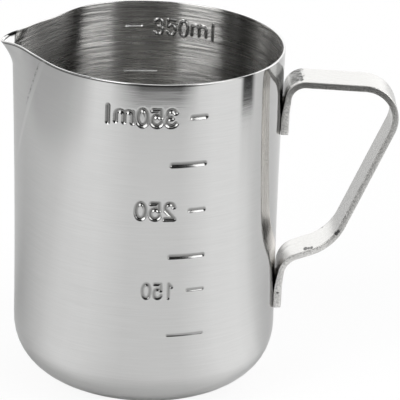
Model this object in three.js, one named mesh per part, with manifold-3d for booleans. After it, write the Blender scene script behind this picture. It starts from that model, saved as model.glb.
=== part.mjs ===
// Small stainless steel pouring pot for melting candle wax.
//
// A deep-drawn pot with a pinched pouring lip carries one bent strip handle,
// held by four spot welds. Millimetres, +Z up. The origin is the centre of the
// face the pot rests on, +X points at the handle and -X at the pouring lip.

import * as THREE from "three";
import { mergeVertices } from "three/addons/utils/BufferGeometryUtils.js";
import Module from "manifold-3d";

// ---------------------------------------------------------------- dimensions

// Pot body: a drawn shell, slightly wider near the bottom than at mid height.
const POT_HEIGHT = 99;
const WALL = 0.6;
const WAIST_RADIUS = 36.2;
const WAIST_HEIGHT = 72;
const BELLY_RADIUS = 36.85;
const CORNER_HEIGHT = 17.7;
const CORNER_REACH = 22.3;
const CORNER_POWER = 2.24;

// Pouring lip: a long shallow beak, a short flare at its tip and a pinch either side.
const BEAK_BOTTOM = 18;
const BEAK_REACH = 3.0;
const BEAK_ROUNDING_DEG = 2.5;
const BEAK_FALL_OFF_DEG = 11;
const FLARE_BOTTOM = 91.3;
const FLARE_REACH = 3.1;
const FLARE_POWER = 1.6;
const FLARE_WIDTH_DEG = 9;
const LIP_DROP = 0.9;
const LIP_DROP_WIDTH_DEG = 5;
const RIM_DIP = 0.6;
const RIM_DIP_ANGLE_DEG = 38;
const RIM_DIP_WIDTH_DEG = 15;
const PINCH_DEPTH = 1.6;
const PINCH_BOTTOM = 35;
const PINCH_ANGLE_DEG = 36;
const PINCH_WIDTH_DEG = 18;

// Mesh fineness of the shell.
const LIP_HALF_ANGLE_DEG = 36;
const LIP_COLUMN_STEP_DEG = 4;
const PLAIN_COLUMN_STEP_DEG = 5.76;
const BASE_RINGS = 2;
const CORNER_RINGS = 6;
const RIM_STEPS = 4;
const WALL_FRACTIONS = [0.2, 0.42, 0.64, 0.82, 0.9, 0.94, 0.97, 1];

// Graduation marks, pressed in from outside on the front and on the back of the pot:
// grooves outside, and ridges inside behind the dashes. They read from inside, so
// outside they are mirrored.
// Angles run along the reading direction, from the middle of the front or back.
const MARK_DEPTH = 0.3;
const RIDGE_ROOT = 0.2;
const DASH_WIDTH = 1.2;
const DASH_START_DEG = -23.4;
const LONG_DASH_DEG = 16.7;
const SHORT_DASH_DEG = 8.4;
const LABEL_START_DEG = -10.2;
const LETTER_PITCH_DEG = 6.2;
const LEAN_DEG_PER_MM = 0.025;
const DIGIT_WIDTH = 2.6;
const CAP_REACH = 0.4;
const CAP_NARROWING = 0.3;
const GRADUATIONS = [
  { height: 89.6, label: "350ml", letterHeight: 4.5, stroke: 1.1, letterScale: 1 },
  { height: 76.1, label: "" },
  { height: 62.7, label: "250", letterHeight: 4.5, stroke: 1.0, letterScale: 1 },
  { height: 49.4, label: "" },
  { height: 39.4, label: "150", letterHeight: 4.1, stroke: 0.7, letterScale: 0.8 },
  { height: 26.3, label: "" },
];
const FRONT_SCALE = { azimuthDeg: -90, squeeze: 1, lift: 0 };
const BACK_SCALE = { azimuthDeg: 80, squeeze: 0.94, lift: 1.8 };

// Handle: one flat strip bent four times.
const STRIP_WIDTH = 12.3;
const STRIP_THICKNESS = 1.75;
const STRIP_GAP = 0.3;
const UPPER_FLANGE_END = 74.4;
const UPPER_ARM_HEIGHT = 89.75;
const GRIP_TOP = { x: 72.1, z: 88.5 };
const GRIP_BOTTOM = { x: 52, z: 42 };
const LOWER_ARM_HEIGHT = 36.9;
const LOWER_FLANGE_END = 22.4;
const BEND_RADII = [4.7, 9, 15, 6.2];
const BEND_STEPS = 8;

// Spot welds between handle and pot, two on each flange.
const WELD_RADIUS = 1.8;
const WELD_THICKNESS = 0.14;
const WELD_CLEARANCE = 0.07;
const UPPER_WELD_HEIGHTS = [82.3, 77.5];
const LOWER_WELD_HEIGHTS = [30.6, 25.8];

// ------------------------------------------------------------------ materials

const brushedSteel = new THREE.MeshStandardMaterial({ color: 0xc4c3c0, roughness: 0.34, metalness: 1 });
const satinSteel = new THREE.MeshStandardMaterial({ color: 0xcfcecb, roughness: 0.42, metalness: 1 });
const weldSteel = () => new THREE.MeshStandardMaterial({ color: 0x9a9896, roughness: 0.55, metalness: 1 });

// ------------------------------------------------------------- shell geometry

const wasm = await Module();
wasm.setup();

const deg = THREE.MathUtils.degToRad;
const bell = (x, width) => Math.exp(-((x / width) ** 2));
const climb = (z, from, to) => THREE.MathUtils.clamp((z - from) / (to - from), 0, 1);

function sideRadius(z) {
  const share = (z - WAIST_HEIGHT) / (CORNER_HEIGHT - WAIST_HEIGHT);
  return WAIST_RADIUS + (BELLY_RADIUS - WAIST_RADIUS) * share ** 2;
}

// Height of the rim edge at an angle from the lip's centre line.
function rimHeight(fromLip) {
  const lip = LIP_DROP * bell(fromLip, LIP_DROP_WIDTH_DEG);
  const dip = RIM_DIP * bell(Math.abs(fromLip) - RIM_DIP_ANGLE_DEG, RIM_DIP_WIDTH_DEG);
  return POT_HEIGHT - WALL / 2 - lip - dip;
}

// How far the pouring lip moves the wall outwards, at an angle from its centre line.
function lipOffset(fromLip, z) {
  const away = Math.hypot(fromLip, BEAK_ROUNDING_DEG) - BEAK_ROUNDING_DEG;
  const beak = BEAK_REACH * climb(z, BEAK_BOTTOM, POT_HEIGHT) * Math.exp(-away / BEAK_FALL_OFF_DEG);
  const rise = climb(z, FLARE_BOTTOM, rimHeight(fromLip));
  const flare = FLARE_REACH * rise ** FLARE_POWER * bell(fromLip, FLARE_WIDTH_DEG);
  const fade = climb(z, PINCH_BOTTOM, POT_HEIGHT) ** 2;
  const pinch = PINCH_DEPTH * fade * bell(Math.abs(fromLip) - PINCH_ANGLE_DEG, PINCH_WIDTH_DEG);
  return beak + flare - pinch;
}

// Outer surface. along runs 0..1 over the flat base, 1..2 round the corner, 2..3 up the wall.
function outerPoint(fromLip, along) {
  const flatRadius = BELLY_RADIUS - CORNER_REACH;
  let r = flatRadius * Math.min(along, 1);
  let z = 0;
  if (along > 1) {
    const turn = (Math.min(along, 2) - 1) * Math.PI / 2;
    r = flatRadius + CORNER_REACH * Math.sin(turn) ** (2 / CORNER_POWER);
    z = CORNER_HEIGHT * (1 - Math.max(Math.cos(turn), 0) ** (2 / CORNER_POWER));
  }
  if (along > 2) {
    z = CORNER_HEIGHT + (along - 2) * (rimHeight(fromLip) - CORNER_HEIGHT);
    r = sideRadius(z);
  }
  r += lipOffset(fromLip, z) * climb(along, 1, 2);
  const azimuth = deg(180 + fromLip);
  return new THREE.Vector3(r * Math.cos(azimuth), r * Math.sin(azimuth), z);
}

// Outward normal and upward tangent of the outer surface.
function surfaceFrame(fromLip, along) {
  const step = 0.004;
  const high = outerPoint(fromLip, Math.min(along + step, 3));
  const low = outerPoint(fromLip, Math.max(along - step, 0));
  const up = high.sub(low).normalize();
  const around = outerPoint(fromLip + step, along).sub(outerPoint(fromLip - step, along)).normalize();
  return { normal: around.cross(up).normalize(), up };
}

// Points of one column, from the outer base centre over the rim to the inner base centre.
function shellColumn(fromLip) {
  const stations = [];
  for (let i = 1; i <= BASE_RINGS; i += 1) {
    stations.push(i / BASE_RINGS);
  }
  for (let i = 1; i <= CORNER_RINGS; i += 1) {
    stations.push(1 + i / CORNER_RINGS);
  }
  stations.push(...WALL_FRACTIONS.map((share) => 2 + share));

  const outer = [];
  const inner = [];
  for (const along of stations) {
    const point = outerPoint(fromLip, along);
    const { normal } = surfaceFrame(fromLip, along);
    outer.push(point);
    inner.unshift(point.clone().addScaledVector(normal, -WALL));
  }

  const { normal, up } = surfaceFrame(fromLip, 3);
  const middle = outerPoint(fromLip, 3).addScaledVector(normal, -WALL / 2);
  const rim = [];
  for (let i = 1; i < RIM_STEPS; i += 1) {
    const turn = (i / RIM_STEPS) * Math.PI;
    const point = middle.clone().addScaledVector(normal, (WALL / 2) * Math.cos(turn));
    rim.push(point.addScaledVector(up, (WALL / 2) * Math.sin(turn)));
  }
  return [...outer, ...rim, ...inner];
}

function columnAngles() {
  const angles = [];
  for (let angle = -LIP_HALF_ANGLE_DEG; angle < LIP_HALF_ANGLE_DEG; angle += LIP_COLUMN_STEP_DEG) {
    angles.push(angle);
  }
  for (let angle = LIP_HALF_ANGLE_DEG; angle < 359.9 - LIP_HALF_ANGLE_DEG; angle += PLAIN_COLUMN_STEP_DEG) {
    angles.push(angle);
  }
  return angles;
}

function shellGeometry() {
  const columns = columnAngles().map((angle) => shellColumn(angle > 180 ? angle - 360 : angle));
  const count = columns.length;
  const rows = columns[0].length;
  const points = columns.flat();
  const outerCentre = points.push(new THREE.Vector3(0, 0, 0)) - 1;
  const innerCentre = points.push(new THREE.Vector3(0, 0, WALL)) - 1;

  const triangles = [];
  for (let i = 0; i < count; i += 1) {
    const here = i * rows;
    const next = ((i + 1) % count) * rows;
    triangles.push(outerCentre, next, here);
    for (let j = 0; j < rows - 1; j += 1) {
      triangles.push(here + j, next + j, next + j + 1);
      triangles.push(here + j, next + j + 1, here + j + 1);
    }
    triangles.push(innerCentre, here + rows - 1, next + rows - 1);
  }
  const geometry = new THREE.BufferGeometry().setFromPoints(points);
  geometry.setIndex(triangles);
  return geometry;
}

// ------------------------------------------------------------ graduation marks

// Points of an elliptical arc, angles in degrees anticlockwise from the right.
function arc(cx, cy, rx, ry, fromDeg, toDeg, steps) {
  const points = [];
  for (let i = 0; i <= steps; i += 1) {
    const a = deg(fromDeg + ((toDeg - fromDeg) * i) / steps);
    points.push([cx + rx * Math.cos(a), cy + ry * Math.sin(a)]);
  }
  return points;
}

// Stroke centre lines. Digits fill the box from (-0.5, -0.5) to (0.5, 0.5).
const LETTERS = {
  0: { advance: 1, strokes: [arc(0, 0, 0.5, 0.5, 90, -90, 4), arc(0, 0, 0.5, 0.5, 90, 270, 4)] },
  1: { advance: 1, strokes: [[[-0.3, 0.28], [0.05, 0.45]], [[0.1, 0.5], [0.1, -0.5]]] },
  2: {
    advance: 1,
    strokes: [[...arc(0, 0.22, 0.46, 0.28, 165, -25, 4), [-0.4, -0.45]], [[-0.5, -0.5], [0.5, -0.5]]],
  },
  3: { advance: 1, strokes: [arc(0, 0.25, 0.44, 0.25, 150, -90, 4), arc(0, -0.24, 0.5, 0.26, 90, -150, 4)] },
  5: {
    advance: 1,
    strokes: [[[0.42, 0.5], [-0.38, 0.5]], [[-0.38, 0.45], [-0.42, 0.06]], arc(0, -0.17, 0.5, 0.33, 135, -150, 5)],
  },
  m: {
    advance: 1.55,
    strokes: [
      [[-0.9, -0.36], [-0.9, 0.3]],
      [...arc(-0.45, 0.08, 0.45, 0.24, 170, 0, 3), [0, -0.36]],
      [...arc(0.45, 0.08, 0.45, 0.24, 170, 0, 3), [0.9, -0.36]],
    ],
  },
  l: { advance: 0.8, strokes: [[[0, 0.55], [0, -0.5]]] },
};

// Centre lines of every mark on one side of the pot, in millimetres: x runs round
// the outside of the wall, against the reading direction, and y is the height.
function markStrokes(scale) {
  const strokes = [];
  GRADUATIONS.forEach((graduation, index) => {
    const z = graduation.height + scale.lift;
    const lean = LEAN_DEG_PER_MM * (GRADUATIONS[0].height - graduation.height);
    const place = (angle) => -deg(scale.squeeze * (angle - lean)) * WAIST_RADIUS;

    const isLong = index % 2 === 1;
    const length = isLong ? LONG_DASH_DEG : SHORT_DASH_DEG;
    const pieces = isLong ? 4 : 2;
    const dash = [];
    for (let i = 0; i <= pieces; i += 1) {
      dash.push([place(DASH_START_DEG + (length * i) / pieces), z]);
    }
    strokes.push({ line: dash, width: DASH_WIDTH, ridge: true });

    let edge = LABEL_START_DEG;
    for (const name of graduation.label) {
      const letter = LETTERS[name];
      const advance = letter.advance * LETTER_PITCH_DEG * graduation.letterScale;
      const centre = place(edge + advance / 2);
      const width = DIGIT_WIDTH * graduation.letterScale * scale.squeeze;
      for (const points of letter.strokes) {
        const line = points.map(([x, y]) => [centre - x * width, z + y * graduation.letterHeight]);
        strokes.push({ line, width: graduation.stroke, ridge: false });
      }
      edge += advance;
    }
  });
  return strokes;
}

// Solid of one stroke bent round the wall, between two distances from its outer face.
function strokeSolid({ line, width }, scale, from, to) {
  const points = line.map(([x, y]) => new THREE.Vector2(x, y));
  const last = points.length - 1;
  const stations = points.map((point, i) => {
    const ahead = points[Math.min(i + 1, last)].clone().sub(points[Math.max(i - 1, 0)]).normalize();
    return { point, ahead, half: width / 2 };
  });
  const cap = (end, reach) => ({
    point: end.point.clone().addScaledVector(end.ahead, reach * width),
    ahead: end.ahead,
    half: CAP_NARROWING * width,
  });
  stations.unshift(cap(stations[0], -CAP_REACH));
  stations.push(cap(stations[last + 1], CAP_REACH));

  const vertices = [];
  for (const { point, ahead, half } of stations) {
    for (const [across, depth] of [[half, from], [-half, from], [-half, to], [half, to]]) {
      const z = point.y + ahead.x * across;
      const azimuth = deg(scale.azimuthDeg) + (point.x - ahead.y * across) / WAIST_RADIUS;
      const r = sideRadius(z) + depth;
      vertices.push(new THREE.Vector3(r * Math.cos(azimuth), r * Math.sin(azimuth), z));
    }
  }
  const triangles = [0, 1, 2, 0, 2, 3];
  for (let i = 0; i < vertices.length - 4; i += 4) {
    for (let j = 0; j < 4; j += 1) {
      const k = (j + 1) % 4;
      triangles.push(i + j, i + 4 + j, i + 4 + k, i + j, i + 4 + k, i + k);
    }
  }
  const end = vertices.length - 4;
  triangles.push(end, end + 2, end + 1, end, end + 3, end + 2);
  const geometry = new THREE.BufferGeometry().setFromPoints(vertices);
  geometry.setIndex(triangles);
  return toSolid(geometry);
}

function toSolid(geometry) {
  geometry.deleteAttribute("normal");
  geometry.deleteAttribute("uv");
  const merged = mergeVertices(geometry, 1e-5);
  return new wasm.Manifold(new wasm.Mesh({
    numProp: 3,
    vertProperties: new Float32Array(merged.getAttribute("position").array),
    triVerts: new Uint32Array(merged.getIndex().array),
  }));
}

function toGeometry(solid) {
  const mesh = solid.getMesh();
  const geometry = new THREE.BufferGeometry();
  geometry.setAttribute("position", new THREE.BufferAttribute(mesh.vertProperties, 3));
  geometry.setIndex(new THREE.BufferAttribute(mesh.triVerts, 1));
  return geometry;
}

// ---------------------------------------------------------------------- pieces

function potBody() {
  let solid = toSolid(shellGeometry());
  for (const scale of [FRONT_SCALE, BACK_SCALE]) {
    for (const stroke of markStrokes(scale)) {
      if (stroke.ridge) {
        solid = solid.add(strokeSolid(stroke, scale, -WALL - MARK_DEPTH, -WALL + RIDGE_ROOT));
      }
      solid = solid.subtract(strokeSolid(stroke, scale, -MARK_DEPTH, MARK_DEPTH));
    }
  }
  return new THREE.Mesh(toGeometry(solid), brushedSteel);
}

// Replaces each inner corner of a path with an arc of the given radius.
function filletPath(corners, radii, steps) {
  const path = [corners[0]];
  for (let i = 1; i < corners.length - 1; i += 1) {
    const into = corners[i].clone().sub(corners[i - 1]).normalize();
    const out = corners[i + 1].clone().sub(corners[i]).normalize();
    const turn = Math.atan2(into.cross(out), into.dot(out));
    const radius = radii[i - 1];
    const start = corners[i].clone().addScaledVector(into, -radius * Math.tan(Math.abs(turn) / 2));
    const side = Math.sign(turn) * radius;
    const centre = new THREE.Vector2(start.x - into.y * side, start.y + into.x * side);
    for (let k = 0; k <= steps; k += 1) {
      path.push(start.clone().rotateAround(centre, (turn * k) / steps));
    }
  }
  path.push(corners.at(-1));
  return path;
}

// Offsets a path to its left by a distance.
function offsetPath(path, distance) {
  return path.map((point, i) => {
    const from = path[Math.max(i - 1, 0)];
    const to = path[Math.min(i + 1, path.length - 1)];
    const d = to.clone().sub(from).normalize();
    return new THREE.Vector2(point.x - d.y * distance, point.y + d.x * distance);
  });
}

function handle() {
  const flangeX = (z) => sideRadius(z) + STRIP_GAP + STRIP_THICKNESS / 2;
  const upperX = flangeX(POT_HEIGHT);
  const lowerX = flangeX(LOWER_FLANGE_END);
  const corners = [
    new THREE.Vector2(upperX, UPPER_FLANGE_END),
    new THREE.Vector2(upperX, UPPER_ARM_HEIGHT),
    new THREE.Vector2(GRIP_TOP.x, GRIP_TOP.z),
    new THREE.Vector2(GRIP_BOTTOM.x, GRIP_BOTTOM.z),
    new THREE.Vector2(lowerX, LOWER_ARM_HEIGHT),
    new THREE.Vector2(lowerX, LOWER_FLANGE_END),
  ];
  const path = filletPath(corners, BEND_RADII, BEND_STEPS);
  const outer = offsetPath(path, STRIP_THICKNESS / 2);
  const inner = offsetPath(path, -STRIP_THICKNESS / 2).reverse();
  const section = new THREE.Shape([...outer, ...inner]);
  const geometry = new THREE.ExtrudeGeometry(section, { depth: STRIP_WIDTH, bevelEnabled: false });
  geometry.translate(0, 0, -STRIP_WIDTH / 2);
  geometry.rotateX(Math.PI / 2);
  return new THREE.Mesh(geometry, satinSteel);
}

function weld(height) {
  const geometry = new THREE.CylinderGeometry(WELD_RADIUS, WELD_RADIUS, WELD_THICKNESS, 24);
  geometry.rotateZ(Math.PI / 2);
  const mesh = new THREE.Mesh(geometry, weldSteel());
  mesh.position.set(sideRadius(height) + WELD_CLEARANCE + WELD_THICKNESS / 2, 0, height);
  return mesh;
}

const pot = new THREE.Group();

function addPiece(name, mesh) {
  mesh.name = name;
  pot.add(mesh);
}

addPiece("pot_body", potBody());
addPiece("handle", handle());
UPPER_WELD_HEIGHTS.forEach((height, i) => addPiece(`upper_spot_weld_${i + 1}`, weld(height)));
LOWER_WELD_HEIGHTS.forEach((height, i) => addPiece(`lower_spot_weld_${i + 1}`, weld(height)));

export default pot;
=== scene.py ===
"""Looks of the candle melting pot: a brushed steel pouring pot with a bent strip handle.

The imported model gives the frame. This script replaces the faceted shell and handle with
fine meshes of the same size, gives every piece a procedural steel, and sets up the studio.
Lengths in the shape functions are millimetres; meshes are written in metres.
"""

import math

import bpy
import numpy as np
from mathutils import Matrix, Vector


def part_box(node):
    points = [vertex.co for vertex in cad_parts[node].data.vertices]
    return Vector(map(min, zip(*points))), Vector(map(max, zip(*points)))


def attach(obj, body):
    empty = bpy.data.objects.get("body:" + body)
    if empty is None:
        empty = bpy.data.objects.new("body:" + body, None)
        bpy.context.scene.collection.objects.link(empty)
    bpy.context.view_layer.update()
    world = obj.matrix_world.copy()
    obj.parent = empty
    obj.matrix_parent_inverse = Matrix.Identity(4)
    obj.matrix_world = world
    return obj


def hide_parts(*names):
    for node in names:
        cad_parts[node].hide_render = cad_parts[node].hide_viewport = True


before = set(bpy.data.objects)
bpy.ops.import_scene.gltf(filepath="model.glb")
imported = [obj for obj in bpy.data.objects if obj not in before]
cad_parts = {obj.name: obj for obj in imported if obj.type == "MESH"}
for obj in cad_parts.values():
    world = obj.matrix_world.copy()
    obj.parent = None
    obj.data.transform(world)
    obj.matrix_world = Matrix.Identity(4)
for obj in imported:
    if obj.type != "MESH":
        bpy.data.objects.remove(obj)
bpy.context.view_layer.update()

MM = 0.001
BODY = "root"

# ------------------------------------------------------------------ sizes

pot_high = np.array(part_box("pot_body")[1]) / MM
handle_low, handle_high = (np.array(corner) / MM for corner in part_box("handle"))

POT_HEIGHT = float(pot_high[2])
WALL = 0.6
WAIST_RADIUS = 36.2
WAIST_HEIGHT = 72.0
BELLY_RADIUS = 36.85
CORNER_HEIGHT = 17.7
CORNER_REACH = 22.3
CORNER_POWER = 2.24
FLAT_RADIUS = BELLY_RADIUS - CORNER_REACH

BEAK_BOTTOM = 18.0
BEAK_REACH = 3.0
BEAK_ROUNDING = 2.5
BEAK_FALL_OFF = 11.0
FLARE_BOTTOM = 91.3
FLARE_REACH = 3.1
FLARE_POWER = 1.6
FLARE_WIDTH = 9.0
LIP_DROP = 0.9
LIP_DROP_WIDTH = 5.0
RIM_DIP = 0.6
RIM_DIP_ANGLE = 38.0
RIM_DIP_WIDTH = 15.0
PINCH_DEPTH = 1.6
PINCH_BOTTOM = 35.0
PINCH_ANGLE = 36.0
PINCH_WIDTH = 18.0

# Graduation marks. Angles in degrees along the reading direction, lengths in mm.
DASH_START = -23.4
LONG_DASH = 16.7
SHORT_DASH = 8.4
LABEL_START = -10.2
LETTER_PITCH = 6.2
LEAN_PER_MM = 0.025
DIGIT_WIDTH = 2.6
MARK_SHOULDER = 0.25
INSIDE_STROKE = 0.45
MARK_NEIGHBOURHOOD = 4.0
# Height, label, letter height, letter stroke, letter scale, letter depth, dash stroke, dash depth.
GRADUATIONS = (
    (89.6, "350ml", 4.5, 1.3, 1.0, 0.42, 1.5, 0.3),
    (76.1, "", 0, 0, 1.0, 0, 1.5, 0.3),
    (62.7, "250", 4.5, 1.15, 1.0, 0.34, 1.3, 0.25),
    (49.4, "", 0, 0, 1.0, 0, 1.3, 0.25),
    (39.4, "150", 4.1, 0.8, 0.8, 0.2, 0.9, 0.15),
    (26.3, "", 0, 0, 1.0, 0, 0.7, 0.1),
)
# Each side's marks: centre angle from the lip, squeeze along the wall, lift up the wall.
FRONT_SCALE = (90.0, 1.0, 0.0)
BACK_SCALE = (-100.0, 0.94, 1.8)

# Handle strip, in the plane through the pot's axis.
STRIP_WIDTH = float(handle_high[1] - handle_low[1])
STRIP_THICKNESS = 1.75
STRIP_GAP = 0.3
UPPER_FLANGE_END = 74.4
UPPER_ARM_HEIGHT = 89.75
GRIP_TOP = (72.1, 88.5)
GRIP_BOTTOM = (52.0, 42.0)
LOWER_ARM_HEIGHT = 36.9
LOWER_FLANGE_END = float(handle_low[2])
BEND_RADII = (4.7, 9.0, 15.0, 6.2)


# ------------------------------------------------------------- pot surface


def bell(x, width):
    return np.exp(-((x / width) ** 2))


def climb(z, low, high):
    return np.clip((z - low) / (high - low), 0, 1)


def side_radius(z):
    share = (z - WAIST_HEIGHT) / (CORNER_HEIGHT - WAIST_HEIGHT)
    return WAIST_RADIUS + (BELLY_RADIUS - WAIST_RADIUS) * share**2


def rim_height(angle):
    dip = RIM_DIP * bell(np.abs(angle) - RIM_DIP_ANGLE, RIM_DIP_WIDTH)
    return POT_HEIGHT - WALL / 2 - LIP_DROP * bell(angle, LIP_DROP_WIDTH) - dip


def lip_offset(angle, z):
    """How far the pouring lip moves the wall outwards, at an angle from the lip's middle."""
    away = np.hypot(angle, BEAK_ROUNDING) - BEAK_ROUNDING
    beak = BEAK_REACH * climb(z, BEAK_BOTTOM, POT_HEIGHT) * np.exp(-away / BEAK_FALL_OFF)
    rise = climb(z, FLARE_BOTTOM, rim_height(angle))
    flare = FLARE_REACH * rise**FLARE_POWER * bell(angle, FLARE_WIDTH)
    fade = climb(z, PINCH_BOTTOM, POT_HEIGHT) ** 2
    pinch = PINCH_DEPTH * fade * bell(np.abs(angle) - PINCH_ANGLE, PINCH_WIDTH)
    return beak + flare - pinch


def outer_surface(angle, along):
    """Outer surface: along is 0..1 over the flat base, 1..2 round the corner, 2..3 up the wall."""
    turn = np.clip(along - 1, 0, 1) * math.pi / 2
    corner_r = FLAT_RADIUS + CORNER_REACH * np.sin(turn) ** (2 / CORNER_POWER)
    corner_z = CORNER_HEIGHT * (1 - np.clip(np.cos(turn), 0, 1) ** (2 / CORNER_POWER))
    wall_z = CORNER_HEIGHT + np.clip(along - 2, 0, 1) * (rim_height(angle) - CORNER_HEIGHT)
    z = np.where(along > 2, wall_z, np.where(along > 1, corner_z, 0))
    r = np.where(along > 2, side_radius(wall_z), np.where(along > 1, corner_r, FLAT_RADIUS * along))
    r = r + lip_offset(angle, z) * climb(along, 1, 2)
    azimuth = np.radians(180 + angle)
    return np.stack([r * np.cos(azimuth), r * np.sin(azimuth), z], axis=-1)


def unit(vectors):
    return vectors / np.linalg.norm(vectors, axis=-1, keepdims=True)


def surface_frame(angle, along):
    """Outward normal and upward tangent of the outer surface."""
    step = 0.01
    high = outer_surface(angle, np.minimum(along + step, 3))
    low = outer_surface(angle, np.maximum(along - step, 0))
    up = unit(high - low)
    around = unit(outer_surface(angle + step, along) - outer_surface(angle - step, along))
    return unit(np.cross(around, up)), up


# --------------------------------------------------------- graduation marks


def arc(cx, cy, rx, ry, start, stop, steps=14):
    a = np.radians(np.linspace(start, stop, steps + 1))
    return np.stack([cx + rx * np.cos(a), cy + ry * np.sin(a)], axis=-1)


def line(*points):
    return np.array(points, dtype=float)


# Stroke centre lines; a digit fills the box from (-0.5, -0.5) to (0.5, 0.5).
LETTERS = {
    "0": (1.0, [arc(0, 0, 0.5, 0.5, 0, 360, 28)]),
    "1": (1.0, [line((-0.3, 0.28), (0.1, 0.5), (0.1, -0.5))]),
    "2": (1.0, [np.vstack([arc(0, 0.22, 0.46, 0.28, 165, -30), line((-0.5, -0.5), (0.5, -0.5))])]),
    "3": (1.0, [arc(0, 0.25, 0.44, 0.25, 155, -90), arc(0, -0.24, 0.5, 0.26, 90, -155)]),
    "5": (
        1.0,
        [
            line((0.42, 0.5), (-0.36, 0.5), (-0.42, 0.04)),
            arc(0, -0.17, 0.5, 0.33, 140, -155),
        ],
    ),
    "m": (
        1.55,
        [
            line((-0.9, -0.36), (-0.9, 0.3)),
            np.vstack([arc(-0.45, 0.08, 0.45, 0.24, 170, 0, 8), line((0, -0.36))]),
            np.vstack([arc(0.45, 0.08, 0.45, 0.24, 170, 0, 8), line((0.9, -0.36))]),
        ],
    ),
    "l": (0.8, [line((0, 0.55), (0, -0.5))]),
}


def mark_strokes(squeeze, lift, stroke_share):
    """(points, half width, depth, is a dash) of every stroke: x in mm round the outside, y up."""
    strokes = []
    for index, graduation in enumerate(GRADUATIONS):
        height, label, letter_height, stroke, scale, letter_depth, dash_stroke, dash_depth = graduation
        stroke = stroke * stroke_share
        dash_stroke = dash_stroke * stroke_share
        lean = LEAN_PER_MM * (GRADUATIONS[0][0] - height)

        def place(angle):
            return -math.radians(squeeze * (angle - lean)) * WAIST_RADIUS

        length = LONG_DASH if index % 2 else SHORT_DASH
        z = height + lift
        dash = line((place(DASH_START), z), (place(DASH_START + length), z))
        inset = np.sign(dash[1, 0] - dash[0, 0]) * dash_stroke / 2
        dash[:, 0] += (inset, -inset)
        strokes.append((dash, dash_stroke / 2, dash_depth, True))

        edge = LABEL_START
        for name in label:
            advance, lines = LETTERS[name]
            advance *= LETTER_PITCH * scale
            centre = place(edge + advance / 2)
            width = DIGIT_WIDTH * scale * squeeze
            for points in lines:
                at = np.stack([centre - points[:, 0] * width, z + points[:, 1] * letter_height], axis=-1)
                strokes.append((at, stroke / 2, letter_depth, False))
            edge += advance
    return strokes


def mark_scales(stroke_share):
    scales = []
    for middle, squeeze, lift in (FRONT_SCALE, BACK_SCALE):
        scales.append((middle, mark_strokes(squeeze, lift, stroke_share)))
    return scales


OUTSIDE_MARKS = mark_scales(1.0)
INSIDE_MARKS = mark_scales(INSIDE_STROKE)


def distance_to_line(points, polyline):
    start = polyline[:-1]
    run = polyline[1:] - start
    length2 = np.maximum((run**2).sum(axis=1), 1e-12)
    offset = points[:, None, :] - start[None]
    share = np.clip((offset * run).sum(axis=2) / length2, 0, 1)
    return np.linalg.norm(offset - share[..., None] * run, axis=2).min(axis=1)


def wall_coordinates(angle, z, middle):
    x = np.radians((angle - middle + 180) % 360 - 180) * WAIST_RADIUS
    return np.stack([x, z], axis=-1)


def near_stroke(at, polyline, reach):
    low = polyline.min(axis=0) - reach
    high = polyline.max(axis=0) + reach
    return np.nonzero(((at > low) & (at < high)).all(axis=1))[0]


def mark_depth(angle, z, scales, only_dashes=False):
    """How far the pressed marks push the wall inwards."""
    depth = np.zeros(len(angle))
    for middle, strokes in scales:
        at = wall_coordinates(angle, z, middle)
        for polyline, half, full_depth, is_dash in strokes:
            if only_dashes and not is_dash:
                continue
            reach = half + MARK_SHOULDER
            near = near_stroke(at, polyline, reach)
            if len(near) == 0:
                continue
            share = np.clip(distance_to_line(at[near], polyline) / reach, 0, 1)
            depth[near] = np.maximum(depth[near], full_depth * (0.5 + 0.5 * np.cos(math.pi * share)))
    return depth


def mark_gap(angle, z):
    """Distance from the nearest stroke's shoulder; negative inside it."""
    gap = np.full(len(angle), POT_HEIGHT)
    for middle, strokes in OUTSIDE_MARKS:
        at = wall_coordinates(angle, z, middle)
        for polyline, half, _, _ in strokes:
            near = near_stroke(at, polyline, half + MARK_NEIGHBOURHOOD)
            if len(near):
                found = distance_to_line(at[near], polyline) - half - MARK_SHOULDER
                gap[near] = np.minimum(gap[near], found)
    return gap


# ------------------------------------------------------------ pot body mesh

# The shell's grid: angle round the pot by a walk from the outer base over the rim to the
# inner base. Walk 0..3 is the outer surface, 3..4 the rim and 4..7 the inner surface.
COLUMNS = 128
BASE_ROWS = 4
CORNER_ROWS = 14
WALL_ROWS = 44
RIM_ROWS = 10
RIM_SQUARENESS = 0.55
FINEST = 4
FIRST_WALK = 0.06
COARSE_CELL = 1.8
# Finer cells near the lip: half angle in degrees, lowest walk and the number of halvings.
LIP_CELLS = ((24, 2.8, 1), (12, 2.88, 2))
# The inside is smooth where the lip flares: the share of the flare where that sets in and is full.
FLARE_SMOOTH = (0.04, 0.3)


def walk_stops():
    rising = [np.linspace(FIRST_WALK, 1, BASE_ROWS + 1)]
    rising.append(np.linspace(1, 2, CORNER_ROWS + 1)[1:])
    rising.append(np.linspace(2, 3, WALL_ROWS + 1)[1:])
    outer = np.concatenate(rising)
    rim = np.linspace(3, 4, RIM_ROWS + 1)[1:-1]
    return np.concatenate([outer, rim, 7 - outer[::-1]])


STOPS = walk_stops()


def outer_walk(walk):
    """Place on the outer surface that a place on the walk is measured from, and if it is on the wall."""
    along = np.where(walk < 3.5, np.minimum(walk, 3), np.minimum(7 - walk, 3))
    return along, np.abs(along - 2.5) < 0.49


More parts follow.
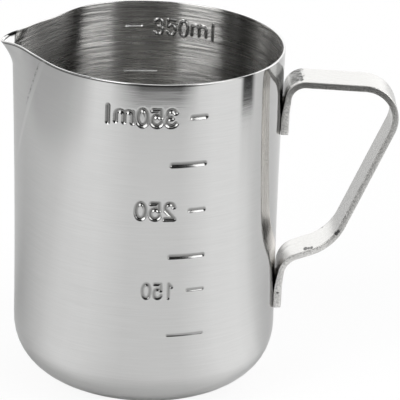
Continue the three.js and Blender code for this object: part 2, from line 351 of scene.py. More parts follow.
def shell_points(angle, walk):
    """Points of the shell, in mm, and the depth of the pressed marks at each."""
    along, on_wall = outer_walk(walk)
    point = outer_surface(angle, along)
    normal, up = surface_frame(angle, along)
    outside = mark_depth(angle, point[:, 2], OUTSIDE_MARKS)
    inside = mark_depth(angle, point[:, 2], INSIDE_MARKS)
    depth = np.where(on_wall, np.where(walk < 3.5, outside, inside), 0)
    turn = np.clip(walk - 3, 0, 1) * math.pi
    inward = WALL / 2 * (1 - np.sign(np.cos(turn)) * np.abs(np.cos(turn)) ** RIM_SQUARENESS)
    lift = WALL / 2 * np.clip(np.sin(turn), 0, 1) ** RIM_SQUARENESS
    return point - normal * (inward + depth)[:, None] + up * lift[:, None], depth


def cell_centres(cells, size):
    unit_size = 2**FINEST
    angle = (cells[:, 0] + size / 2) * 360 / (COLUMNS * unit_size) - 180
    walk = np.interp((cells[:, 1] + size / 2) / unit_size, np.arange(len(STOPS)), STOPS)
    return angle, walk


def needs_split(cells, size):
    angle, walk = cell_centres(cells, size)
    along, on_wall = outer_walk(walk)
    z = outer_surface(angle, along)[:, 2]
    cell_mm = size / 2**FINEST * COARSE_CELL
    split = on_wall & (mark_gap(angle, z) < 0.75 * cell_mm)
    level = FINEST - int(math.log2(size))
    for half_angle, lowest, halvings in LIP_CELLS:
        if level < halvings:
            split |= (np.abs(angle) < half_angle) & (along > lowest)
    return split


def shell_cells():
    """Leaves of a quadtree over the grid: (column, row, size) in finest steps."""
    size = 2**FINEST
    i, j = np.meshgrid(np.arange(COLUMNS) * size, np.arange(len(STOPS) - 1) * size, indexing="ij")
    cells = np.stack([i.ravel(), j.ravel()], axis=-1)
    leaves = []
    while size > 1:
        split = needs_split(cells, size)
        kept = cells[~split]
        leaves.append(np.column_stack([kept, np.full(len(kept), size)]))
        size //= 2
        parents = cells[split]
        cells = np.concatenate([parents + (a, b) for a in (0, size) for b in (0, size)])
    leaves.append(np.column_stack([cells, np.ones(len(cells), dtype=int)]))
    return np.concatenate(leaves)


def shell_mesh():
    """The closed shell's points and faces, and the values per point that its material reads."""
    around = COLUMNS * 2**FINEST
    leaves = shell_cells().tolist()
    ids = {}
    for i, j, size in leaves:
        for a, b in ((i, j), (i + size, j), (i + size, j + size), (i, j + size)):
            ids.setdefault((a % around, b), len(ids))

    def edge(a, b):
        """Vertices on the way from a to b, without b."""
        middle = ((a[0] + b[0]) // 2, (a[1] + b[1]) // 2)
        if abs(a[0] - b[0]) + abs(a[1] - b[1]) < 2 or (middle[0] % around, middle[1]) not in ids:
            return [ids[(a[0] % around, a[1])]]
        return edge(a, middle) + edge(middle, b)

    faces = []
    for i, j, size in leaves:
        loop = ((i, j), (i + size, j), (i + size, j + size), (i, j + size), (i, j))
        face = []
        for a, b in zip(loop[:-1], loop[1:]):
            face += edge(a, b)
        faces.append(face)

    grid = np.array(list(ids), dtype=float)
    angle = grid[:, 0] * 360 / around - 180
    walk = np.interp(grid[:, 1] / 2**FINEST, np.arange(len(STOPS)), STOPS)
    points, pressed = shell_points(angle, walk)

    last = (len(STOPS) - 1) * 2**FINEST
    for row, height in ((0, 0.0), (last, WALL)):
        centre = len(points)
        points = np.vstack([points, (0, 0, height)])
        ring = sorted((key[0], index) for key, index in ids.items() if key[1] == row)
        ring = [index for _, index in ring]
        for here, after in zip(ring, ring[1:] + ring[:1]):
            faces.append([centre, after, here] if row == 0 else [centre, here, after])
    z = points[: len(walk), 2]
    flare = climb(z, FLARE_BOTTOM, rim_height(angle)) ** FLARE_POWER * bell(angle, FLARE_WIDTH)
    is_inside = walk > 3.8
    dash = is_inside * mark_depth(angle, z, INSIDE_MARKS, only_dashes=True)
    values = {
        "inner": (is_inside * (1 - climb(flare, *FLARE_SMOOTH)), (0, 1)),
        "pressed": (pressed, (0, 0)),
        "dash": (dash, (0, 0)),
        "below_rim": (rim_height(angle) - z, (POT_HEIGHT, POT_HEIGHT)),
    }
    return points, faces, {name: np.concatenate(parts) for name, parts in values.items()}


def add_mesh(name, points, faces, material):
    mesh = bpy.data.meshes.new(name)
    mesh.from_pydata((np.asarray(points) * MM).tolist(), [], faces)
    mesh.validate()
    mesh.shade_smooth()
    mesh.materials.append(material)
    piece = bpy.data.objects.new(name, mesh)
    bpy.context.scene.collection.objects.link(piece)
    return piece


def store_values(piece, name, values):
    """Keeps one number or vector per vertex for the material to read."""
    values = np.asarray(values, dtype=np.float32)
    kind, field = ("FLOAT", "value") if values.ndim == 1 else ("FLOAT_VECTOR", "vector")
    attribute = piece.data.attributes.new(name, kind, "POINT")
    attribute.data.foreach_set(field, values.ravel())


# --------------------------------------------------------------- handle mesh

EDGE_RADIUS = 0.25
EDGE_TAPER = math.tan(math.radians(4.5))
EDGE_STEPS = 4
ACROSS_STEPS = 24
STATION_STEP = 0.5
END_CORNER = 1.0
# The spot welds draw the middle of each flange's inner face to the wall.
FLANGE_LENGTH = 8.0
FLANGE_FADE = 2.5
FLANGE_CONTACT = 0.02
FLANGE_CUP = 3.2
FLANGE_HUG = 0.8
# The whole section is bent round the wall this close to the strip's ends.
FULLY_BENT = 5.0


def fillet_path(corners, radii):
    """Points and headings along a path whose inner corners are rounded to the radii."""
    stations = []
    corners = [np.array(c, dtype=float) for c in corners]
    at = corners[0]
    for i in range(1, len(corners)):
        into = unit(corners[i] - corners[i - 1])
        if i == len(corners) - 1:
            stop = corners[i]
        else:
            out = unit(corners[i + 1] - corners[i])
            turn = math.atan2(into[0] * out[1] - into[1] * out[0], float(into @ out))
            stop = corners[i] - into * radii[i - 1] * math.tan(abs(turn) / 2)
        count = max(2, int(np.linalg.norm(stop - at) / STATION_STEP))
        stations += [(at + (stop - at) * k / count, into) for k in range(count)]
        at = stop
        if i == len(corners) - 1:
            stations.append((at, into))
            break
        side = math.copysign(radii[i - 1], turn)
        centre = at + np.array([-into[1], into[0]]) * side
        count = max(6, int(abs(turn) * radii[i - 1] / STATION_STEP))
        for k in range(count):
            a = turn * k / count
            c, s = math.cos(a), math.sin(a)
            rotate = np.array([[c, -s], [s, c]])
            stations.append((centre + rotate @ (at - centre), rotate @ into))
        c, s = math.cos(turn), math.sin(turn)
        at = centre + np.array([[c, -s], [s, c]]) @ (at - centre)
    return stations


def strip_section(half_width, half_thick, radius):
    """Outline of the rounded strip as (across, out) points, anticlockwise."""
    points = []
    for sign_w, sign_t, start in ((1, -1, -90), (1, 1, 0), (-1, 1, 90), (-1, -1, 180)):
        for k in range(EDGE_STEPS + 1):
            a = math.radians(start + 90 * k / EDGE_STEPS)
            w = sign_w * (half_width - radius) + radius * math.cos(a)
            t = sign_t * (half_thick - radius) + radius * math.sin(a)
            points.append((w, t))
        if start in (0, 180):
            for k in range(1, ACROSS_STEPS):
                w = sign_w * (half_width - radius) * (1 - 2 * k / ACROSS_STEPS)
                points.append((w, sign_t * half_thick))
    points = np.array(points)
    points[:, 0] -= np.sign(points[:, 0]) * EDGE_TAPER * (points[:, 1] + half_thick)
    return points


def handle_path():
    upper_x = side_radius(POT_HEIGHT) + STRIP_GAP + STRIP_THICKNESS / 2
    lower_x = side_radius(LOWER_FLANGE_END) + STRIP_GAP + STRIP_THICKNESS / 2
    corners = (
        (upper_x, UPPER_FLANGE_END),
        (upper_x, UPPER_ARM_HEIGHT),
        GRIP_TOP,
        GRIP_BOTTOM,
        (lower_x, LOWER_ARM_HEIGHT),
        (lower_x, LOWER_FLANGE_END),
    )
    return fillet_path(corners, BEND_RADII)


def strip_ring(place, heading, length, total, inset):
    """Section points at a place on the path, and their (along, across, out) in the strip."""
    from_end = min(length, total - length)
    corner = 0.0
    if from_end < END_CORNER:
        corner = END_CORNER - math.sqrt(END_CORNER**2 - (END_CORNER - from_end) ** 2)
    half_width = STRIP_WIDTH / 2 - corner - inset
    half_thick = STRIP_THICKNESS / 2 - inset
    section = strip_section(half_width, half_thick, max(EDGE_RADIUS - inset, 0.04))
    x = place[0] - heading[1] * section[:, 1]
    z = place[1] + heading[0] * section[:, 1]
    wall_x = np.sqrt(side_radius(z) ** 2 - section[:, 0] ** 2) + FLANGE_CONTACT
    bent = climb(from_end, FLANGE_LENGTH + FLANGE_FADE, FULLY_BENT)
    x = x - (side_radius(z) + FLANGE_CONTACT - wall_x) * bent
    inner_face = climb(section[:, 1] * np.sign(heading[1]), -0.2, 0.6)
    pull = climb(from_end, FLANGE_LENGTH + FLANGE_FADE, FLANGE_LENGTH) * inner_face
    x = x - (x - side_radius(z) - FLANGE_CONTACT) * pull * bell(section[:, 0], FLANGE_CUP)
    hug = FLANGE_HUG * bent * inner_face
    x = x - np.maximum(x - wall_x, 0) * hug * (1 - bell(section[:, 0], FLANGE_CUP))
    points = np.stack([x, -section[:, 0], z], axis=-1)
    strip = np.column_stack([np.full(len(section), length), section])
    return points, strip


def end_rings(place, heading, length, total, direction):
    """Rounded end of the strip, from its end face inwards; direction is 1 at the path's start."""
    rings = []
    for turn in range(0, 90, 30):
        a = math.radians(turn)
        inset, back = EDGE_RADIUS * (1 - math.sin(a)), EDGE_RADIUS * (1 - math.cos(a))
        rings.append(strip_ring(place + direction * heading * back, heading, length, total, inset))
    return rings


def handle_mesh():
    """The strip's points and faces, and each point's place in the flat strip."""
    path = handle_path()
    places = np.array([place for place, _ in path])
    steps = np.linalg.norm(np.diff(places, axis=0), axis=1)
    lengths = np.concatenate([[0], np.cumsum(steps)])
    total = lengths[-1]

    rings = end_rings(*path[0], 0.0, total, 1)
    for (place, heading), length in zip(path, lengths):
        if EDGE_RADIUS <= length <= total - EDGE_RADIUS:
            rings.append(strip_ring(place, heading, length, total, 0.0))
    rings += end_rings(*path[-1], total, total, -1)[::-1]

    points = np.concatenate([ring for ring, _ in rings])
    strip = np.concatenate([ring for _, ring in rings])
    count = len(rings[0][0])
    faces = []
    for start in range(0, (len(rings) - 1) * count, count):
        for k in range(count):
            after = (k + 1) % count
            faces.append([start + k, start + after, start + count + after, start + count + k])
    faces.append(list(range(count))[::-1])
    faces.append(list(range(len(points) - count, len(points))))
    return points, faces, strip


# ----------------------------------------------------------------- materials


class Nodes:
    """Short way to build a node tree."""

    def __init__(self, tree):
        self.tree = tree
        tree.nodes.clear()

    def add(self, kind, inputs=None, **settings):
        node = self.tree.nodes.new(kind)
        for key, value in settings.items():
            setattr(node, key, value)
        for key, value in (inputs or {}).items():
            if isinstance(value, bpy.types.NodeSocket):
                self.tree.links.new(value, node.inputs[key])
            else:
                node.inputs[key].default_value = value
        return node

    def math(self, operation, *values):
        node = self.add("ShaderNodeMath", dict(enumerate(values)), operation=operation)
        return node.outputs[0]

    def scale(self, vector, factors):
        node = self.add("ShaderNodeVectorMath", {0: vector, 1: factors}, operation="MULTIPLY")
        return node.outputs[0]

    def attribute(self, name, output="Fac"):
        return self.add("ShaderNodeAttribute", attribute_name=name).outputs[output]

    def vector(self, operation, *values):
        node = self.add("ShaderNodeVectorMath", dict(enumerate(values)), operation=operation)
        return node.outputs[0]

    def noise(self, vector, detail=4.0, roughness=0.6, scale=1.0):
        inputs = {"Vector": vector, "Scale": scale, "Detail": detail, "Roughness": roughness}
        return self.add("ShaderNodeTexNoise", inputs).outputs["Fac"]

    def remap(self, value, low, high, to_low, to_high):
        inputs = {"Value": value, 1: low, 2: high, 3: to_low, 4: to_high}
        return self.add("ShaderNodeMapRange", inputs).outputs[0]

    def window(self, value, low, high, softness):
        """One between low and high, zero elsewhere, with soft ends."""
        half = softness / 2
        enter = self.remap(value, low - half, low + half, 0.0, 1.0)
        leave = self.remap(value, high - half, high + half, 1.0, 0.0)
        return self.math("MULTIPLY", enter, leave)

    def mix_color(self, factor, a, b):
        node = self.add("ShaderNodeMix", {0: factor, 6: a, 7: b}, data_type="RGBA")
        return node.outputs[2]


def new_material(name):
    material = bpy.data.materials.new(name)
    material.use_nodes = True
    return material, Nodes(material.node_tree)


def tilted_normal(n, normal, position, tilt):
    """The normal leant along the wall's up direction, as brush marks round the pot lean it."""
    flat = n.scale(position, (1, 1, 0))
    around = n.vector("CROSS_PRODUCT", (0, 0, 1), n.vector("NORMALIZE", flat))
    up = n.vector("CROSS_PRODUCT", normal, around)
    lean = n.add("ShaderNodeVectorMath", {0: up, "Scale": tilt}, operation="SCALE").outputs[0]
    return n.vector("NORMALIZE", n.vector("ADD", normal, lean))


def rim_shadow(n, x, inner):
    """Painted shade: a dark line where the sheared edge turns into the outside, gone towards the handle."""
    below = n.attribute("below_rim")
    line = n.math("MULTIPLY", n.window(below, -0.05, 0.3, 0.1), n.remap(x, 0.010, 0.018, 1, 0))
    return n.math("MULTIPLY", line, n.math("SUBTRACT", 0.9, n.math("MULTIPLY", inner, 0.9)))


# A handling scratch down the outside beside the lip: its azimuth at the top, how far it drifts
# per mm down, and its ends, in degrees and mm.
SCRATCH_AZIMUTH = -63.0
SCRATCH_DRIFT = 0.7
SCRATCH_TOP = 97.0
SCRATCH_END = 84.0


def scratch(n, x, y, z, inner):
    """Masks of the scratch's dark specks and of the lighter band beside it."""
    azimuth = n.math("DEGREES", n.math("ARCTAN2", x, n.math("MULTIPLY", y, -1.0)))
    down = n.math("SUBTRACT", SCRATCH_TOP, n.math("MULTIPLY", z, 1000.0))
    beside = n.math("SUBTRACT", azimuth, SCRATCH_AZIMUTH)
    beside = n.math("ADD", beside, n.math("MULTIPLY", down, SCRATCH_DRIFT))
    stretched = n.add("ShaderNodeCombineXYZ", {0: down, 1: n.math("MULTIPLY", beside, 0.4), 2: 0.0})
    spot = n.noise(stretched.outputs[0], detail=3)
    outside = n.math("SUBTRACT", 1.0, inner)
    line = n.math("MULTIPLY", n.window(beside, -0.4, 0.4, 0.4), n.remap(spot, 0.46, 0.56, 0.0, 0.75))
    line = n.math("MULTIPLY", line, n.window(down, 0.0, SCRATCH_TOP - SCRATCH_END, 2.0))
    glow = n.math("MULTIPLY", n.window(beside, 1.2, 3.5, 0.8), n.window(down, 0.0, 30.0, 8.0))
    return n.math("MULTIPLY", line, outside), n.math("MULTIPLY", glow, outside)


# Brush marks: cycles per metre across the pot and up the wall.
HAIR_MARKS = (130, 130, 6800)
STREAK_MARKS = (80, 80, 3700)
BAND_MARKS = (10, 10, 900)
TWIST_MARKS = (30, 30, 3000)
# On the flat base the marks run round, so there they are spread over the radius, in metres.
BASE_SPREAD = 0.034
# Colours of the steel: between brush marks, and in them.
OUTSIDE_STEEL = ((0.575, 0.575, 0.57, 1), (0.62, 0.62, 0.615, 1))
INSIDE_STEEL = ((0.30, 0.295, 0.285, 1), (0.84, 0.835, 0.82, 1))
# Painted shade: the pressed marks are coloured darker than the wall, for the dark their groove slopes
# reflect.
PRESSED_MARK_SHADE = (0.23, 0.23, 0.225, 1)
# Painted highlight: near-white colour on the inside dashes' ridges, for the bright line their upper slopes
# catch.
INSIDE_DASH_HIGHLIGHT = (0.97, 0.97, 0.96, 1)
# Painted shade: dark line just under the rim on the outside.
RIM_PAINTED_SHADE = (0.07, 0.07, 0.07, 1)
SCRATCH_GLOW = (0.66, 0.66, 0.655, 1)
SCRATCH_SPECKS = (0.2, 0.2, 0.2, 1)


def pot_steel():
    """Brushed sheet: fine marks round the outside, coarse ones inside, painted shade in the pressed marks, a
    painted highlight on the inside dashes and a painted dark line under the rim.
    """
    material, n = new_material("pot_steel")
    geometry = n.add("ShaderNodeNewGeometry")
    position = geometry.outputs["Position"]
    x, y, z = n.add("ShaderNodeSeparateXYZ", {0: position}).outputs
    inner = n.attribute("inner")
    radius = n.math("SQRT", n.math("ADD", n.math("MULTIPLY", x, x), n.math("MULTIPLY", y, y)))
    across = n.math("ADD", z, n.math("MINIMUM", radius, BASE_SPREAD))
    brush_space = n.add("ShaderNodeCombineXYZ", {0: x, 1: y, 2: across}).outputs[0]
    depth = n.attribute("pressed")
    pressed = n.math("ADD", n.remap(depth, 0, 0.05, 0, 0.6), n.remap(depth, 0.1, 0.3, 0, 0.4))
    hair = n.noise(n.scale(brush_space, HAIR_MARKS), detail=0)
    streak = n.noise(n.scale(brush_space, STREAK_MARKS), detail=0)
    band = n.noise(n.scale(brush_space, BAND_MARKS), detail=2, roughness=0.6)
    twist = n.noise(n.scale(brush_space, TWIST_MARKS), detail=1, roughness=0.6)
    lean = n.math(
        "ADD",
        n.math("MULTIPLY", n.math("SUBTRACT", hair, 0.5), n.remap(inner, 0, 1, 0.015, 0.5)),
        n.math("MULTIPLY", n.math("SUBTRACT", streak, 0.5), n.remap(inner, 0, 1, 0.01, 0.8)),
    )
    normal = tilted_normal(n, geometry.outputs["Normal"], position, lean)
    tangent = n.add("ShaderNodeTangent", direction_type="RADIAL", axis="Z")
    rotation = n.math(
        "ADD", 0.25, n.math("MULTIPLY", n.math("SUBTRACT", twist, 0.5), n.remap(inner, 0, 1, 0, 0.06))
    )
    rough = n.math("ADD", n.remap(inner, 0, 1, 0.085, 0.27), n.remap(band, 0.3, 0.7, -0.01, 0.01))
    worn = n.math("ADD", n.math("MULTIPLY", hair, 0.5), n.math("MULTIPLY", streak, 0.5))
    outside_color = n.mix_color(n.remap(worn, 0.25, 0.75, 0, 1), *OUTSIDE_STEEL)
    inside_color = n.mix_color(n.remap(worn, 0.3, 0.7, 0, 1), *INSIDE_STEEL)
    color = n.mix_color(inner, outside_color, inside_color)
    # Painted shade in the pressed marks, from their shoulders to their bottoms.
    color = n.mix_color(pressed, color, PRESSED_MARK_SHADE)
    rough = n.math("ADD", rough, n.math("MULTIPLY", pressed, n.remap(inner, 0, 1, 0.15, -0.02)))
    # Painted highlight on the inside dashes, with less anisotropy there.
    dash = n.remap(n.attribute("dash"), 0.1, 0.2, 0, 1)
    color = n.mix_color(dash, color, INSIDE_DASH_HIGHLIGHT)
    grained = n.math("SUBTRACT", 1.0, n.math("MULTIPLY", dash, 0.8))
    color = n.mix_color(rim_shadow(n, x, inner), color, RIM_PAINTED_SHADE)
    specks, glow = scratch(n, x, y, z, inner)
    color = n.mix_color(glow, color, SCRATCH_GLOW)
    color = n.mix_color(specks, color, SCRATCH_SPECKS)
    shader = n.add(
        "ShaderNodeBsdfPrincipled",
        {
            "Base Color": color,
            "Metallic": 1.0,
            "Roughness": rough,
            "Anisotropic": n.math("MULTIPLY", grained, n.remap(inner, 0, 1, 0.5, 1.0)),
            "Anisotropic Rotation": rotation,
            "Tangent": tangent.outputs[0],
            "Normal": normal,
        },
    )
    n.add("ShaderNodeOutputMaterial", {"Surface": shader.outputs[0]})
    return material


# Pits in the strip: place as (along, across, out) in mm, and radius.
HANDLE_PITS = (
    ((96.3, 4.2, -0.87), 0.75),
    ((95.4, 4.6, -0.87), 0.55),
    ((94.5, 4.9, -0.87), 0.6),
    ((84.9, 6.1, -0.3), 0.6),
    ((85.7, 6.1, -0.45), 0.7),
    ((112.2, 6.1, 0.1), 0.35),
    ((90.1, -5.9, -0.8), 0.4),
)
PIT_STRETCH = (1.0, 0.5, 1.0)
# Places along the strip, in mm: where a change of finish starts and ends.
UPPER_BEND = (8.6, 14.6)
GRIP_START = (42.6, 48.6)
GRIP_END = (86.6, 91.6)
UPPER_CREASE = (8.6, 12.1)
LOWER_CREASE = (100.6, 105.6)
ARM_END = (40.0, 46.0)
BURR = (46.6, 89.6)
GROUND_ALONG = (14.0, 17.2)
GROUND_ACROSS = (-9.0, 4.6)
# Colours of the strip's steel, between grains and in them.
FACE_STEEL = ((0.60, 0.595, 0.58, 1), (0.68, 0.675, 0.66, 1))
# Edge colours: the speckle in each is the sheared edges' own grain; which one an edge gets along the strip
# is painted shade and painted highlight.
DARK_EDGE = ((0.11, 0.11, 0.105, 1), (0.36, 0.355, 0.345, 1))
PALE_EDGE = ((0.46, 0.46, 0.45, 1), (0.84, 0.83, 0.81, 1))
GROUND_STEEL = ((0.08, 0.08, 0.077, 1), (0.55, 0.55, 0.54, 1))
CREASE_SHADE = (0.09, 0.08, 0.075, 1)
BURR_SHADE = (0.1, 0.1, 0.1, 1)
PIT_SHADE = (0.06, 0.06, 0.06, 1)
# Painted reflection colours, used only where the pot's wall mirrors the strip.
MIRRORED_FACE = (0.92, 0.88, 0.83, 1)
MIRRORED_SHADE = (0.07, 0.075, 0.075, 1)


def handle_steel():
    """Drawn strip: smooth faces, speckled sheared edges with painted shade and highlight along them, a
    ground patch above the upper root.
    """
    material, n = new_material("handle_steel")
    strip = n.attribute("strip", "Vector")
    along, across, out = n.add("ShaderNodeSeparateXYZ", {0: strip}).outputs
    speckle = n.noise(n.scale(strip, (0.9, 0.9, 0.9)), detail=5, roughness=0.65)
    drawn = n.noise(n.scale(strip, (0.12, 3.0, 3.0)), detail=3, roughness=0.6)
    sheared = n.noise(n.scale(strip, (2.2, 0.3, 2.4)), detail=4, roughness=0.75)
    from_edge = n.math("SUBTRACT", STRIP_WIDTH / 2, n.math("ABSOLUTE", across))
    on_edge = n.remap(from_edge, 0.05, 0.25, 1.0, 0.0)
    on_top = n.remap(out, 0.3, 0.6, 0.0, 1.0)

    # Painted highlight on the edges: palest on the upper flange, half pale along the grip, nearly as pale
    # below it; painted shade on the upper arm's edges.
    pale = n.math("ADD", n.remap(along, *UPPER_BEND, 1.0, 0.0), n.remap(along, *GRIP_START, 0.0, 0.4))
    pale = n.math("ADD", pale, n.remap(along, *GRIP_END, 0.0, 0.45))
    gritty = n.noise(n.scale(strip, (1.7, 1.7, 1.7)), detail=3, roughness=0.7)
    ragged = n.math("MULTIPLY", n.math("SUBTRACT", gritty, 0.5), 4.0)
    ground = n.math("MULTIPLY", n.window(n.math("ADD", along, ragged), *GROUND_ALONG, 0.2), on_top)
    ground = n.math("MULTIPLY", ground, n.window(n.math("ADD", across, ragged), *GROUND_ACROSS, 0.25))
    underneath = n.remap(out, -0.6, -0.3, 1.0, 0.0)
    streaked_along = n.math("ADD", along, n.remap(drawn, 0.35, 0.65, -1.2, 1.2))
    upper_crease = n.math("MULTIPLY", on_top, n.remap(streaked_along, *UPPER_CREASE, 1.0, 0.0))
    lower_crease = n.math("MULTIPLY", underneath, n.remap(streaked_along, *LOWER_CREASE, 0.0, 1.0))
    crease = n.math("ADD", upper_crease, lower_crease)
    pits = 0.0
    pit_space = n.scale(strip, PIT_STRETCH)
    for place, radius in HANDLE_PITS:
        centre = tuple(value * stretch for value, stretch in zip(place, PIT_STRETCH))
        measure = n.add("ShaderNodeVectorMath", {0: pit_space, 1: centre}, operation="DISTANCE")
        pit = n.remap(measure.outputs["Value"], radius * 0.65, radius, 0.95, 0.0)
        pits = n.math("MAXIMUM", pit, pits)

    height = n.math("ADD", n.math("MULTIPLY", speckle, 0.4), n.math("MULTIPLY", on_edge, sheared))
    height = n.math("ADD", height, n.math("MULTIPLY", ground, n.math("MULTIPLY", gritty, 2.0)))
    bump = n.add("ShaderNodeBump", {"Strength": 0.4, "Distance": 0.0001, "Height": height})
    rough = n.math("ADD", n.remap(drawn, 0.3, 0.7, 0.24, 0.3), n.math("MULTIPLY", on_edge, 0.12))
    rough = n.math("ADD", rough, n.math("MULTIPLY", ground, 0.2))

    dark_edge = n.mix_color(n.remap(sheared, 0.38, 0.62, 0, 1), *DARK_EDGE)
    pale_edge = n.mix_color(n.remap(sheared, 0.4, 0.6, 0, 1), *PALE_EDGE)
    ground_color = n.mix_color(n.remap(gritty, 0.44, 0.58, 0, 1), *GROUND_STEEL)
    color = n.mix_color(speckle, *FACE_STEEL)
    color = n.mix_color(n.math("MULTIPLY", crease, 0.9), color, CREASE_SHADE)
    burr = n.math("MULTIPLY", n.window(from_edge, 0.2, 0.45, 0.15), n.window(along, *BURR, 4.0))
    burr = n.math("MULTIPLY", burr, n.math("MULTIPLY", underneath, 0.6))
    color = n.mix_color(burr, color, BURR_SHADE)
    color = n.mix_color(ground, color, ground_color)
    color = n.mix_color(on_edge, color, n.mix_color(pale, dark_edge, pale_edge))
    color = n.mix_color(pits, color, PIT_SHADE)
    # Painted reflection: in the wall's mirror image the faces are painted warmer and paler, and the edges
    # and the arm's top painted darker as painted shade.
    mirrored = n.add("ShaderNodeLightPath").outputs["Is Glossy Ray"]
    arm_top = n.math("MULTIPLY", on_top, n.remap(along, *ARM_END, 1.0, 0.0))
    shaded = n.math("MULTIPLY", mirrored, n.math("MAXIMUM", on_edge, arm_top))
    color = n.mix_color(n.math("MULTIPLY", mirrored, 0.5), color, MIRRORED_FACE)
    color = n.mix_color(n.math("MULTIPLY", shaded, 0.8), color, MIRRORED_SHADE)
    shader = n.add(
        "ShaderNodeBsdfPrincipled",
        {"Base Color": color, "Metallic": 1.0, "Roughness": rough, "Normal": bump.outputs[0]},
    )
    n.add("ShaderNodeOutputMaterial", {"Surface": shader.outputs[0]})
    return material


def weld_steel():
    """Dull grainy steel of the spot welds."""
    material, n = new_material("weld_steel")
    position = n.add("ShaderNodeNewGeometry").outputs["Position"]
    grain = n.noise(n.scale(position, (2500, 2500, 2500)), detail=5)
    bump = n.add("ShaderNodeBump", {"Strength": 0.4, "Distance": 0.0001, "Height": grain})
    color = n.mix_color(grain, (0.28, 0.26, 0.24, 1), (0.45, 0.43, 0.41, 1))
    shader = n.add(
        "ShaderNodeBsdfPrincipled",
        {"Base Color": color, "Metallic": 1.0, "Roughness": 0.5, "Normal": bump.outputs[0]},
    )
    n.add("ShaderNodeOutputMaterial", {"Surface": shader.outputs[0]})
    return material


# -------------------------------------------------------------------- pieces

pot_points, pot_faces, pot_values = shell_mesh()
pot = add_mesh("pot_shell", pot_points, pot_faces, pot_steel())
for value_name, point_values in pot_values.items():
    store_values(pot, value_name, point_values)
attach(pot, BODY)
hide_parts("pot_body")

handle_points, handle_faces, handle_strip = handle_mesh()
handle = add_mesh("handle_strip", handle_points, handle_faces, handle_steel())
store_values(handle, "strip", handle_strip)
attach(handle, BODY)
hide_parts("handle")

weld_material = weld_steel()
for node_name, node_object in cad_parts.items():
    if "spot_weld" in node_name:
        node_object.data.materials.clear()
        node_object.data.materials.append(weld_material)


# -------------------------------------------------------------------- studio

# The camera's place in metres, its turns in radians and its focal length in mm.
CAMERA_DISTANCE = 0.990
CAMERA_HEIGHT = 0.4351
CAMERA_AZIMUTH = -91.6
CAMERA_YAW = 0.0147
CAMERA_PITCH = -0.3687
CAMERA_ROLL = 0.0444
CAMERA_LENS = 340.1


def add_camera():
    """Long lens looking down on the front, a little turned, tilted and rolled."""
    azimuth = math.radians(CAMERA_AZIMUTH)
    heading = azimuth + math.pi - CAMERA_YAW
    forward = Vector((math.cos(heading), math.sin(heading), math.tan(CAMERA_PITCH))).normalized()
    right = forward.cross(Vector((0, 0, 1))).normalized()
    up = right.cross(forward)
    rolled_right = math.cos(CAMERA_ROLL) * right + math.sin(CAMERA_ROLL) * up
    rolled_up = math.cos(CAMERA_ROLL) * up - math.sin(CAMERA_ROLL) * right
    data = bpy.data.cameras.new("camera")
    data.sensor_width = 36
    data.lens = CAMERA_LENS
    camera = bpy.data.objects.new("camera", data)
    place = Vector((CAMERA_DISTANCE * math.cos(azimuth), CAMERA_DISTANCE * math.sin(azimuth), CAMERA_HEIGHT))
    turn = Matrix((rolled_right, rolled_up, -forward)).transposed()
    camera.matrix_world = Matrix.Translation(place) @ turn.to_4x4()
    bpy.context.scene.collection.objects.link(camera)
    bpy.context.scene.camera = camera


FLOOR_SIZE = 12.0
FLOOR_WHITE = 0.92
FLOOR_SHADOW = 0.09
# As mirrors see the table, its colour is painted darker in three directions, painted shade standing in for a
# dark room beyond its edge:
# the azimuths in degrees where the dark starts, is full, fades and ends, the distance of the table's edge in
# metres, and the light lost before the edge and at it.
DARK_DIRECTIONS = (
    (-37, -10, 22, 38, 0.297, 0.04, 0.8),
    (77, 81, 90, 95, 0.279, 0.06, 0.9),
    (-125, -108, -70, -52, 0.32, 0.22, 0.05),
)
# How far before the edge the two losses start and are full, in metres.
DIM_START = 0.085
DIM_FULL = 0.045
DARK_START = 0.014
DARK_FULL = 0.007
# Azimuth ranges where a painted sheen brightens the table in reflections, and by how much.
SHEEN_DIRECTIONS = ((-72, -30, 0.13), (38, 88, 0.17))
SHEEN_SOFTNESS = 28.0
# The table's painted brightness in reflections, lower towards the left and far right: from and to an
# azimuth, and the values there.
LEFT_RISE = (-125, -72, 0.62, 0.85)
RIGHT_DROP = (86, 96, 0.0, -0.1)
# Shade close to the pot: from and to a distance in metres, and the shares of light there.
FOOT_SHADE = (0.036, 0.046, 0.82, 1.0)


def mirrored_floor(n):
    """Painted brightness of the floor in a reflection: painted shade beyond the table and close to the pot,
    and a painted sheen.
    """
    x, y, z = n.add("ShaderNodeSeparateXYZ", {0: n.add("ShaderNodeNewGeometry").outputs["Position"]}).outputs
    azimuth = n.math("DEGREES", n.math("ARCTAN2", x, n.math("MULTIPLY", y, -1.0)))
    distance = n.math("SQRT", n.math("ADD", n.math("MULTIPLY", x, x), n.math("MULTIPLY", y, y)))
    level = n.math("ADD", n.remap(azimuth, *LEFT_RISE), n.remap(azimuth, *RIGHT_DROP))
    for low, high, gain in SHEEN_DIRECTIONS:
        level = n.math("ADD", level, n.math("MULTIPLY", n.window(azimuth, low, high, SHEEN_SOFTNESS), gain))
    level = n.math("MULTIPLY", level, n.remap(distance, *FOOT_SHADE))
    for start, full, fade, end, edge, dim_loss, edge_loss in DARK_DIRECTIONS:
        wedge = n.math("MULTIPLY", n.remap(azimuth, start, full, 0, 1), n.remap(azimuth, fade, end, 1, 0))
        dim = n.remap(distance, edge - DIM_START, edge - DIM_FULL, 0, dim_loss)
        dark = n.remap(distance, edge - DARK_START, edge - DARK_FULL, 0, edge_loss)
        loss = n.math("MULTIPLY", wedge, n.math("ADD", dim, dark))
        level = n.math("MULTIPLY", level, n.math("SUBTRACT", 1.0, loss))
    return level


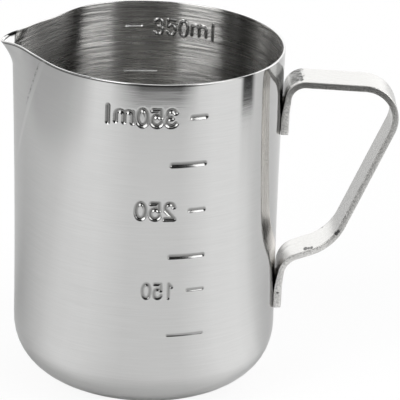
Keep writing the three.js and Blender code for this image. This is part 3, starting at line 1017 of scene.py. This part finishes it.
def add_floor():
    """Pale floor; the camera sees it almost white."""
    material, n = new_material("floor")
    light_path = n.add("ShaderNodeLightPath")
    glossy = light_path.outputs["Is Glossy Ray"]
    # Glossy rays see the floor in the painted light and shade of mirrored_floor.
    level = n.math("MULTIPLY", glossy, mirrored_floor(n))
    level = n.math("ADD", level, n.remap(glossy, 0, 1, FLOOR_WHITE, 0))
    color = n.add("ShaderNodeCombineColor", {0: level, 1: level, 2: level}).outputs[0]
    diffuse = n.add("ShaderNodeBsdfDiffuse", {"Color": color})
    white = n.add("ShaderNodeEmission", {"Color": (1, 1, 1, 1), "Strength": 1.0})
    share = n.math("MULTIPLY", light_path.outputs["Is Camera Ray"], 1 - FLOOR_SHADOW)
    shader = n.add("ShaderNodeMixShader", {0: share, 1: diffuse.outputs[0], 2: white.outputs[0]})
    n.add("ShaderNodeOutputMaterial", {"Surface": shader.outputs[0]})
    half = FLOOR_SIZE / 2
    points = np.array([(-half, -half, 0), (half, -half, 0), (half, half, 0), (-half, half, 0)]) / MM
    floor = add_mesh("floor", points, [[0, 1, 2, 3]], material)


# Bright parts of the studio: azimuth from the camera's side, positive to the right,
# and elevation, in degrees, then brightness.
STUDIO_PANELS = (
    (-64, -25, 8, 62, 4.0),
    (38, 78, 8, 62, 3.6),
    (96, 114, 4, 24, 1.7),
    (114, 135, -5, 42, 2.6),
    (135, 150, -5, 42, 1.4),
    (150, 215, -5, 42, 1.4),
    (215, 232, -5, 42, 1.0),
    (234, 248, 0, 42, 0.9),
    (280, 283, 0, 50, 0.9),
    (-10, 24, 42, 62, 0.6),
    (-180, 180, 72, 90, 1.5),
)
STUDIO_AMBIENT = 0.02
PANEL_SOFTNESS = 2.0


def add_world():
    """Soft panels round the object; the camera itself sees plain white."""
    world = bpy.data.worlds.new("studio")
    world.use_nodes = True
    n = Nodes(world.node_tree)
    direction = n.add("ShaderNodeTexCoord").outputs["Generated"]
    x, y, z = n.add("ShaderNodeSeparateXYZ", {0: direction}).outputs
    behind = n.math("ARCTAN2", n.math("MULTIPLY", x, -1.0), y)
    azimuth = n.math("ADD", n.math("DEGREES", behind), 180.0)
    elevation = n.math("DEGREES", n.math("ARCSINE", z))

    light = STUDIO_AMBIENT
    for low, high, bottom, top, strength in STUDIO_PANELS:
        around = n.window(azimuth, low, high, PANEL_SOFTNESS)
        if low < 0:
            around = n.math("ADD", around, n.window(azimuth, low + 360, high + 360, PANEL_SOFTNESS))
        panel = n.math("MULTIPLY", around, n.window(elevation, bottom, top, PANEL_SOFTNESS))
        light = n.math("ADD", n.math("MULTIPLY", panel, float(strength)), light)
    camera_ray = n.add("ShaderNodeLightPath").outputs["Is Camera Ray"]
    strength = n.math("ADD", n.math("MULTIPLY", camera_ray, n.math("SUBTRACT", 1.0, light)), light)
    shader = n.add("ShaderNodeBackground", {"Color": (1, 1, 1, 1), "Strength": strength})
    n.add("ShaderNodeOutputWorld", {"Surface": shader.outputs[0]})
    bpy.context.scene.world = world


add_camera()
add_floor()
add_world()
bpy.context.scene.view_settings.view_transform = "Standard"
